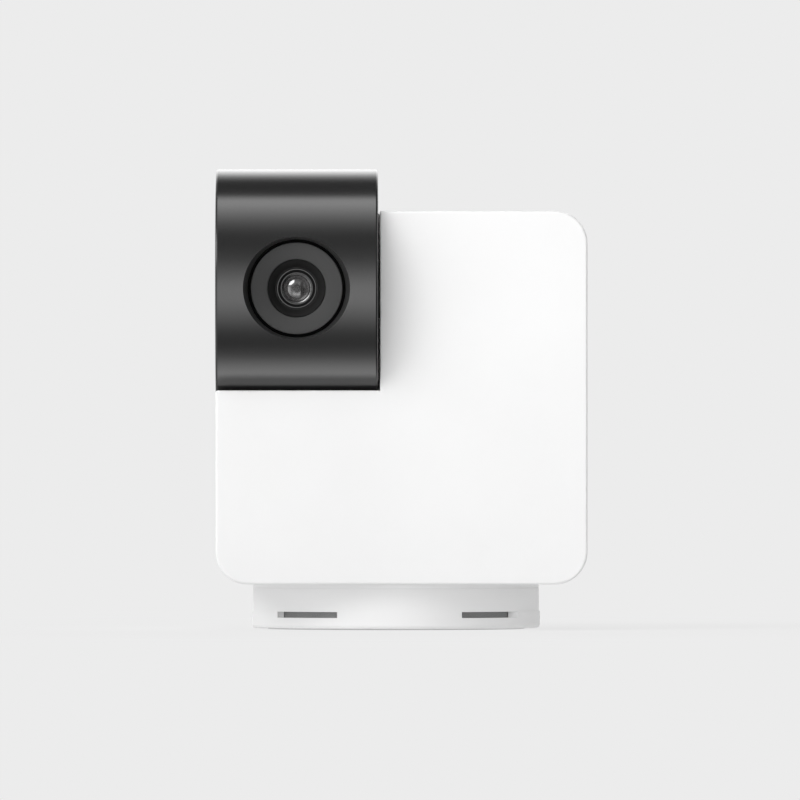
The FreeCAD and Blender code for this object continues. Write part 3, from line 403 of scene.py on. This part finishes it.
def eased(start, end, corner, steps=4):
    """A rounded corner of a profile, from start to end, bowed towards the corner."""
    spots = []
    for i in range(steps + 1):
        t = i / steps
        spots.append(tuple((1 - t) ** 2 * a + 2 * t * (1 - t) * c + t * t * b
                           for a, b, c in zip(start, end, corner)))
    return spots


# Distances forward of the tilt axis, and radii, in millimetres.
BEZEL_FRONT, BEZEL_OUTER, BEZEL_HOLE, LIGHT_FRONT, SHELF, THROAT = 19.4, 9.2, 5.8, 18.2, 17.4, 9.8
BARREL_FRONT, BARREL_BACK, BARREL_RADIUS = 17.0, 10.0, 3.95
GLASS_RADIUS, GLASS_EDGE, GLASS_RISE, GLASS_BACK = 2.68, 15.5, 0.95, 14.3
# The hole behind the front glass.
BORE = GLASS_RADIUS - 0.48


def cap_points(radius, rise, base, steps):
    """A ball's cap from its rim to its top, as (radius, height)."""
    ball = (radius ** 2 + rise ** 2) / (2 * rise)
    reach = math.asin(min(1, radius / ball))
    angles = [reach * (1 - i / steps) for i in range(steps + 1)]
    return [(ball * math.sin(angle), base + rise - ball + ball * math.cos(angle)) for angle in angles]


def lens_piece(name, profile, slot, sides=128, **others):
    """A piece that is turned about the lens's axis and rides on the head."""
    add_piece(name, lathe(bmesh.new(), profile, LENS, FORWARD, sides), "head", slot, **others)


def make_bezel():
    """The flat ring round the lens, the foam in the gap round it, and the dark cone inside it."""
    front, outer, hole = BEZEL_FRONT, BEZEL_OUTER, BEZEL_HOLE
    profile = [(hole, LIGHT_FRONT), (outer, LIGHT_FRONT)]
    profile += eased((outer, front - 0.2), (outer - 0.2, front), (outer, front))
    profile += [(outer - 0.23, front), (hole + 0.22, front)]
    profile += eased((hole + 0.16, front - 0.03), (hole, front - 0.2), (hole, front - 0.03))
    lens_piece("lens_bezel_disc", profile, "bezel_dark", replaces=["lens_bezel"])

    near, far, top = outer + 0.03, THROAT - 0.03, LIGHT_FRONT - 0.2
    profile = [(near, SHELF + 0.01), (far, SHELF + 0.01)]
    profile += eased((far, top), (near, top), ((THROAT + outer) / 2, LIGHT_FRONT + 0.2), 6)
    lens_piece("lens_gasket", profile, "lens_black", look="foam_black")

    profile = [(BARREL_RADIUS + 0.12, SHELF - 0.6), (hole - 0.1, SHELF - 0.6)]
    profile += eased((hole - 0.12, front - 0.25), (BARREL_RADIUS + 0.16, BARREL_FRONT - 0.35),
                     (BARREL_RADIUS + 0.9, BARREL_FRONT + 0.5), 8)
    lens_piece("lens_hood_cone", profile, "lens_black", look="hood_black", replaces=["lens_hood"], sharp=14)


def make_barrel():
    """The barrel, its two polished rims and the ring that holds the front glass."""
    front, step, mouth, seat = BARREL_FRONT, 3.7, 3.26, GLASS_RADIUS + 0.02
    profile = [(BORE, BARREL_BACK), (BARREL_RADIUS, BARREL_BACK), (BARREL_RADIUS, front - 0.55),
               (step, front - 0.55), (step, front - 0.22), (mouth, front - 0.3),
               (mouth - 0.04, front - 1.05), (seat, front - 1.32), (seat, GLASS_BACK), (BORE, GLASS_BACK)]
    lens_piece("lens_barrel_tube", profile, "lens_black", look="barrel_black", replaces=["lens_barrel"])

    # Each rim is a narrow bevelled band, given by its middle radius and by how far its top and foot are from
    # the front.
    half, bevel = 0.11, 0.03
    rims = (("lens_front_rim", 3.83, 0.0, -0.54), ("lens_glass_rim", 3.11, -0.45, -0.6))
    for name, radius, top, foot in rims:
        band = [(-half, foot), (-half, top - bevel), (bevel - half, top),
                (half - bevel, top), (half, top - bevel), (half, foot)]
        profile = [(radius + across, front + rise) for across, rise in band]
        lens_piece(name, profile, "lens_black", look="trim_black")

    # The ring has a hollow slope down to the glass, and stands against the barrel's wall.
    inner, wall = 3.03, 3.2
    ring = eased((GLASS_RADIUS + 0.03, front - 1.28), (inner - 0.03, front - 1.12), (2.88, front - 1.22), 4)
    ring += [(inner, front - 1.0), (inner + 0.01, front - 0.61), (wall, front - 0.61), (wall, front - 1.04)]
    lens_piece("lens_retaining_ring", ring, "lens_black", look="ring_dark")


def make_glasses():
    """The domed front glass, the stepped iris behind it and the small glass inside the iris."""
    front = cap_points(GLASS_RADIUS, GLASS_RISE, GLASS_EDGE, 14)
    back = cap_points(BORE - 0.02, 0.5, GLASS_BACK, 10)
    lens_piece("lens_front_glass", front + back[::-1] + [(GLASS_RADIUS, GLASS_BACK)], "lens_glass", 96,
               replaces=["lens_glass"])

    top = GLASS_BACK - 0.02
    end = top - 1.6
    iris = [(BORE, end), (BORE, top - 0.05), (1.9, top - 0.3), (1.86, top - 0.5), (1.5, top - 0.7),
            (1.46, end)]
    lens_piece("lens_iris", iris, "lens_black", 96, look="barrel_black")
    small = 1.44
    second = cap_points(small, 0.6, top - 1.4, 9) + [(0, end), (small, end)]
    lens_piece("lens_second_glass", second, "lens_glass", 64, look="inner_glass")


def cross_screw(bm, place, axis, radius, height):
    """A pan head with a cross recess, standing on place."""
    axis = Vector(axis)
    turn = Vector((0, 0, 1)).rotation_difference(axis).to_matrix()
    sides = 48
    arm, width, depth = radius * 0.56, radius * 0.15, height * 0.85

    def spot(x, y, z):
        return bm.verts.new(turn @ Vector((x, y, z)) * MM + place)

    # The recess's outline is a cross. It and the crown's rim both start an eighth of a turn below the first
    # arm.
    start = -math.pi / 4
    cross = []
    for quarter in range(4):
        c, s = math.cos(quarter * math.pi / 2), math.sin(quarter * math.pi / 2)
        for x, y in ((width, -width), (arm, -width), (arm, width)):
            cross.append((x * c - y * s, x * s + y * c))
    angles = [start + 2 * math.pi * i / sides for i in range(sides)]
    rings = [[spot(radius * share * math.cos(a), radius * share * math.sin(a), height * rise) for a in angles]
             for share, rise in ((0.7, 1.0), (0.86, 0.94), (0.95, 0.8), (1.0, 0.5), (1.0, 0.0))]
    for high, low in zip(rings, rings[1:]):
        for i in range(sides):
            bm.faces.new((high[i], high[(i + 1) % sides], low[(i + 1) % sides], low[i]))
    bm.faces.new(rings[-1][::-1])
    lip = [spot(x, y, height) for x, y in cross]
    floor = [spot(x * 0.6, y * 0.6, height - depth) for x, y in cross]
    for i in range(len(cross)):
        after = (i + 1) % len(cross)
        bm.faces.new((lip[i], lip[after], floor[after], floor[i]))
    bm.faces.new(floor)
    turns = [start + (math.atan2(y, x) - start) % (2 * math.pi) for x, y in cross]
    turns[0] = start
    stitch(bm, list(zip(angles, rings[0])), list(zip(turns, lip)))


def stitch(bm, outer, inner):
    """Fills between two rings of (angle, vertex) that start at one angle, the inner one star-shaped."""
    outer = outer + [(outer[0][0] + 2 * math.pi, outer[0][1])]
    inner = inner + [(inner[0][0] + 2 * math.pi, inner[0][1])]
    i = j = 0
    while i < len(outer) - 1 or j < len(inner) - 1:
        if j == len(inner) - 1 or (i < len(outer) - 1 and outer[i + 1][0] <= inner[j + 1][0]):
            bm.faces.new((outer[i][1], outer[i + 1][1], inner[j][1]))
            i += 1
        else:
            bm.faces.new((outer[i][1], inner[j + 1][1], inner[j][1]))
            j += 1


# Where the four screws of the rear shell sit, in millimetres.
SCREW_COLUMNS, SCREW_SEAT, SCREW_ROWS = (-29.9, 32.1), 29, (15.4, 77.7)


def make_rear_screws():
    bm = bmesh.new()
    head_radius, head_height, shank_length = 1.88, 1.25, 14
    shank = [(0.9, -shank_length), (0.95, 0.05), (0, 0.05), (0, -shank_length)]
    for x in SCREW_COLUMNS:
        for z in SCREW_ROWS:
            place = Vector((x, SCREW_SEAT, z)) * MM
            cross_screw(bm, place, BACKWARD, head_radius, head_height)
            lathe(bm, shank, place, BACKWARD, 24)
    add_piece("rear_screws", bm, "body", "steel", replaces=["shell_screws"])


def make_slot_shade_gauze():
    """A woven grey gauze just inside the base's wall, behind its two slots: painted shade, its greys stand
    for the shaded inside of the slots.
    """
    radius, bottom, tall = 27.2, 2.1, 1.7
    across, up = 60, 6
    for side, low, high in (("left", 205, 248), ("right", 292, 335)):
        bm = bmesh.new()
        grid = []
        for i in range(across + 1):
            angle = math.radians(low + (high - low) * i / across)
            x, y = radius * math.cos(angle), radius * math.sin(angle)
            grid.append([bm.verts.new(Vector((x, y, bottom + tall * k / up)) * MM) for k in range(up + 1)])
        for i in range(across):
            for k in range(up):
                bm.faces.new((grid[i][k], grid[i + 1][k], grid[i + 1][k + 1], grid[i][k + 1]))
        bmesh.ops.solidify(bm, geom=bm.faces, thickness=0.1 * MM)
        add_piece(f"slot_shade_gauze_{side}", bm, "base", "black_plastic", look="shade_gauze")


def stadium(width, height, steps=10):
    """The outline of a bar with half-round sides, as (x, z)."""
    half = height / 2
    run = width / 2 - half
    spots = []
    for side in (1, -1):
        for i in range(steps + 1):
            angle = math.pi * (i / steps - 0.5)
            spots.append((side * (run + half * math.cos(angle)), side * half * math.sin(angle)))
    return spots


def bar_along_y(bm, rings, middle):
    """A solid through stadium rings of (y, width, height), closed at both ends.

    The rings are in millimetres, and lie round the middle."""
    layers = [[bm.verts.new(Vector((x, y, z)) * MM + middle) for x, z in stadium(width, height)]
              for y, width, height in rings]
    for low, high in zip(layers, layers[1:]):
        for i in range(len(low)):
            bm.faces.new((low[i], low[(i + 1) % len(low)], high[(i + 1) % len(low)], high[i]))
    bm.faces.new(layers[0])
    bm.faces.new(layers[-1])


def box(bm, low, high):
    """A block between two corners, in millimetres."""
    corners = [bm.verts.new(Vector((x, y, z)) * MM) for x in (low[0], high[0]) for y in (low[1], high[1])
               for z in (low[2], high[2])]
    for face in ((0, 1, 3, 2), (4, 6, 7, 5), (0, 4, 5, 1), (2, 3, 7, 6), (0, 2, 6, 4), (1, 5, 7, 3)):
        bm.faces.new([corners[i] for i in face])


# The power inlet's mouth, its middle height and its size, in millimetres.
INLET_MOUTH, INLET_MIDDLE, INLET_WIDTH, INLET_HEIGHT, INLET_DEPTH = 27.8, 4.8, 9.0, 3.2, 7.4


def make_inlet():
    """A drawn steel shell with a rolled lip round a tongue that carries twelve contacts on each face."""
    middle = Vector((0, 0, INLET_MIDDLE)) * MM
    mouth, back, width, height = INLET_MOUTH, INLET_MOUTH - INLET_DEPTH, INLET_WIDTH, INLET_HEIGHT
    # From the back outside, round the lip and into the back of the inside: the place, and how much narrower
    # it is.
    wall = [(back, 0), (mouth - 0.3, 0), (mouth - 0.1, 0.06), (mouth, 0.22), (mouth - 0.04, 0.42),
            (mouth - 0.2, 0.56), (back + 1, 0.6)]
    shell = bmesh.new()
    bar_along_y(shell, [(y, width - less, height - less) for y, less in wall], middle)
    add_piece("inlet_shell", shell, "base", "steel", replaces=["power_inlet"])
    plug = [(back + 1.02, width - 0.7, height - 0.7), (back + 2.2, width - 0.7, height - 0.7)]
    tongue = [(back + 2.0, width - 2.2, 1.3), (back + 3.0, width - 2.4, 1.1), (back + 3.1, width - 2.6, 0.7),
              (mouth - 0.9, width - 2.6, 0.7), (mouth - 0.7, width - 2.7, 0.56),
              (mouth - 0.62, width - 2.9, 0.34)]
    core = bmesh.new()
    bar_along_y(core, plug, middle)
    bar_along_y(core, tongue, middle)
    add_piece("inlet_tongue", core, "base", "black_plastic")
    pads = bmesh.new()
    count, pitch, pad, start, end = 12, 0.46, 0.26, back + 3.2, mouth - 1.3
    for i in range(count):
        x = (i - (count - 1) / 2) * pitch
        for side in (-1, 1):
            near, far = INLET_MIDDLE + side * 0.34, INLET_MIDDLE + side * 0.372
            box(pads, (x - pad / 2, start, min(near, far)), (x + pad / 2, end, max(near, far)))
    add_piece("inlet_contacts", pads, "base", "brass")


def make_reset_key():
    """The reset button: a stem, a flange that keeps it in the shell, and a softly dished cap."""
    place = Vector((-20.05, 29, 24.9)) * MM
    stem, flange, radius, top = 1.08, 2.6, 1.8, 4.2
    profile = [(0, 0), (stem, 0), (stem, 1), (flange, 1), (flange, 1.7), (radius, 1.7), (radius, 3.0)]
    profile += eased((radius, top - 0.3), (radius - 0.3, top), (radius, top), 6)
    profile += [(1.3, top - 0.04), (1.0, top - 0.11), (0.6, top - 0.17), (0.3, top - 0.19), (0, top - 0.2)]
    key = lathe(bmesh.new(), profile, place, BACKWARD, 96)
    add_piece("reset_key", key, "reset_button", "button_grey", replaces=["reset_button"])


def make_foot():
    """The rubber foot: a disc and a rim with a groove between them, both with fine rings that grip."""
    depth, pitch = 0.07, 1.0
    disc, inner, outer, thick = 22, 23, 26, 0.8

    def ringed(start, end):
        """Shallow rounded rings between two radii of the underside."""
        spots = []
        count = round((end - start) / pitch)
        step = (end - start) / count
        for i in range(count):
            low = start + i * step
            spots += [(low + step * share, depth * rise) for share, rise in
                      ((0.1, 0), (0.6, 0), (0.68, 0.5), (0.74, 1), (0.94, 1), (1.0, 0.5))]
        return spots

    profile = [(0, 0)] + ringed(1.0, disc - 0.6)
    profile += eased((disc - 0.2, 0), (disc, 0.2), (disc, 0), 4) + [(inner, 0.2)]
    profile += eased((inner, 0.19), (inner + 0.2, 0), (inner, 0), 4) + ringed(inner + 0.3, outer - 0.5)
    profile += eased((outer - 0.3, 0), (outer, 0.3), (outer, 0), 5) + [(outer, thick), (0, thick)]
    foot = lathe(bmesh.new(), profile, ORIGIN, UP, 160)
    add_piece("foot_rubber", foot, "base", "foot_rubber", replaces=["foot_pad"])


def make_washer():
    """The thrust washer under the body: a flat ring whose soft rim laps over the foot's rounded edge."""
    inner, rim, low, high, lap = 9.2, 28.74, 8.8, 9.18, 8.45
    profile = [(inner, low), (rim - 0.6, low), (rim - 0.5, low - 0.1), (rim - 0.12, lap), (rim, lap)]
    profile += eased((rim, high - 0.14), (rim - 0.12, high), (rim, high), 5)
    profile += [(rim - 0.5, high), (inner, high)]
    washer = lathe(bmesh.new(), profile, ORIGIN, UP, 160)
    add_piece("washer_ring", washer, "base", "grey_acetal", replaces=["pan_washer"])


def make_pieces():
    make_foot()
    make_washer()
    make_slot_shade_gauze()
    make_inlet()
    make_bezel()
    make_barrel()
    make_glasses()
    make_reset_key()
    make_rear_screws()


# Stage --------------------------------------------------------------------------------------------


# The studio round the object. For each angle in the plane across the drum's axis, how bright it is: 0 is
# the front, 90 is overhead, 180 is behind and -90 is below.
STUDIO = [
    (-180, 0.9), (-125, 0.5), (-108, 0.9), (-100, 4.6), (-91, 4.6), (-80, 3.3), (-68, 1.1),
    (-55, 0.35), (-42, 0.7), (-28, 2.3), (-12, 4.1), (2, 4.1), (14, 2.5), (28, 0.9), (42, 0.35),
    (54, 0.4), (66, 1.7), (78, 3.8), (90, 5.8), (97, 5.8), (101, 0.2), (128, 0.15), (137, 1.2),
    (146, 3.0), (160, 3.7), (180, 1.6),
]
STUDIO_TOP = 6.0
# How much of the studio shows at each sideways direction, from the left (-1) to the right (1): at the
# height of the object, and overhead. OVERHEAD is the rise over which the second takes over.
BOX_WIDTH = [(-1, 0), (-0.42, 0.03), (-0.3, 0.8), (-0.22, 1), (0.2, 1), (0.27, 0.8), (0.38, 0.03), (1, 0)]
TOP_WIDTH = [(-1, 0), (-0.24, 0.02), (-0.15, 0.8), (-0.1, 1), (0.1, 1), (0.15, 0.8), (0.24, 0.02), (1, 0)]
OVERHEAD = (0.6, 0.85)
# The walls beside the studio, in the same directions: low and high. HIGH is the rise over which they change.
LOW_WALLS = [(-1, 1.8), (-0.8, 2.0), (-0.4, 0.5), (0.0, 0.3), (0.5, 0.0), (1, 0.0)]
HIGH_WALLS = [(-1, 0.8), (-0.8, 0.9), (-0.4, 0.45), (0.0, 0.3), (0.5, 0.1), (0.8, 0.5), (1, 1.6)]
WALLS_TOP = 3.0
HIGH = (-0.05, 0.3)
# The wall behind, and the depths over which it begins.
BACKDROP, BEHIND = 1.1, (0.35, 0.75)
# A box high on the left: its direction, its inner and outer half angle in degrees, and its brightness.
KEY_WAY, KEY_INNER, KEY_OUTER, KEY = (-0.5, -0.62, 0.6), 15, 21, 5.6
LIGHT = 0.915


def make_world():
    """The studio's light. The camera sees plain pale ground in its place, also through glass."""
    world = bpy.data.worlds.new("world")
    bpy.context.scene.world = world
    nodes = Nodes(world, clear=True)
    way = nodes.add("ShaderNodeTexCoord").outputs["Generated"]
    parts = nodes.add("ShaderNodeSeparateXYZ")
    nodes.link(way, parts.inputs[0])
    side, depth, rise = parts.outputs

    forward = nodes.math("MULTIPLY", depth, -1.0)
    angle = nodes.math("MULTIPLY", nodes.math("ARCTAN2", rise, forward), 180 / math.pi)
    boxes = nodes.curve(angle, -180, 180, STUDIO, STUDIO_TOP)
    overhead = nodes.follow(rise, *OVERHEAD, kind="SMOOTHSTEP")
    width = nodes.between(overhead, nodes.curve(side, -1, 1, TOP_WIDTH, 1.0),
                          nodes.curve(side, -1, 1, BOX_WIDTH, 1.0))
    high = nodes.follow(rise, *HIGH, kind="SMOOTHSTEP")
    walls = nodes.between(high, nodes.curve(side, -1, 1, HIGH_WALLS, WALLS_TOP),
                          nodes.curve(side, -1, 1, LOW_WALLS, WALLS_TOP))
    walls = nodes.math("MAXIMUM", walls, nodes.follow(depth, *BEHIND, 0, BACKDROP, "SMOOTHSTEP"))
    level = nodes.between(width, boxes, walls)

    towards = nodes.add("ShaderNodeVectorMath", operation="DOT_PRODUCT")
    nodes.link(way, towards.inputs[0])
    towards.inputs[1].default_value = Vector(KEY_WAY).normalized()
    outer, inner = (math.cos(math.radians(angle)) for angle in (KEY_OUTER, KEY_INNER))
    key = nodes.follow(towards.outputs["Value"], outer, inner, 0, KEY, "SMOOTHSTEP")
    level = nodes.math("ADD", level, key)

    room = nodes.add("ShaderNodeBackground")
    nodes.link(nodes.math("MULTIPLY", level, LIGHT), room.inputs["Strength"])
    seen = nodes.add("ShaderNodeBackground", Color=PALE)
    path = nodes.add("ShaderNodeLightPath")
    either = nodes.math("MAXIMUM", path.outputs["Is Camera Ray"], path.outputs["Is Transmission Ray"])
    out = nodes.add("ShaderNodeOutputWorld")
    nodes.link(nodes.mix_shaders(either, room.outputs[0], seen.outputs[0]), out.inputs["Surface"])


# The ground: a disc of this radius just under the foot. It keeps a share of the shadow, FLOOR_SHADE, up to
# FLOOR_NEAR from the middle, and none beyond FLOOR_FAR. FLOOR_GLOW is how bright it is to the object.
FLOOR_REACH = 240 * MM
FLOOR_Z = -0.02 * MM
FLOOR_NEAR, FLOOR_FAR = 30 * MM, 0.9 * FLOOR_REACH
FLOOR_SHADE = 0.16
FLOOR_GLOW = 0.68


def floor_material():
    """Pale ground that keeps the object's shadow near it, and melts into the background further out.

    From below it can't be seen."""
    nodes = Nodes(bpy.data.materials.new("floor"), clear=True)
    lit = nodes.add("ShaderNodeBsdfDiffuse", Color=PALE)
    plain = nodes.add("ShaderNodeEmission", Color=PALE)
    glow = nodes.add("ShaderNodeEmission", Color=(1, 1, 1, 1), Strength=FLOOR_GLOW)
    clear = nodes.add("ShaderNodeBsdfTransparent")
    far = nodes.distance((0, 0, 0), (1, 1, 1))
    shade = nodes.follow(far, FLOOR_NEAR, FLOOR_FAR, FLOOR_SHADE, 0, "SMOOTHSTEP")
    above = nodes.mix_shaders(shade, plain.outputs[0], lit.outputs[0])
    underside = nodes.add("ShaderNodeNewGeometry").outputs["Backfacing"]
    seen = nodes.mix_shaders(underside, above, clear.outputs[0])
    to_camera = nodes.add("ShaderNodeLightPath").outputs["Is Camera Ray"]
    whole = nodes.mix_shaders(to_camera, glow.outputs[0], seen)
    nodes.link(whole, nodes.add("ShaderNodeOutputMaterial").inputs["Surface"])
    return nodes.owner


def make_stage():
    mesh = bpy.data.meshes.new("floor")
    rim = [(FLOOR_REACH * x, FLOOR_REACH * y, FLOOR_Z) for x, y in circle(96)]
    mesh.from_pydata(rim, [], [tuple(range(len(rim)))])
    mesh.materials.append(floor_material())
    floor = bpy.data.objects.new("floor", mesh)
    bpy.context.collection.objects.link(floor)
    floor.visible_glossy = False
    make_world()


make_camera()
make_stage()
dress_nodes()
make_pieces()

view = bpy.context.scene.view_settings
view.view_transform = "Standard"

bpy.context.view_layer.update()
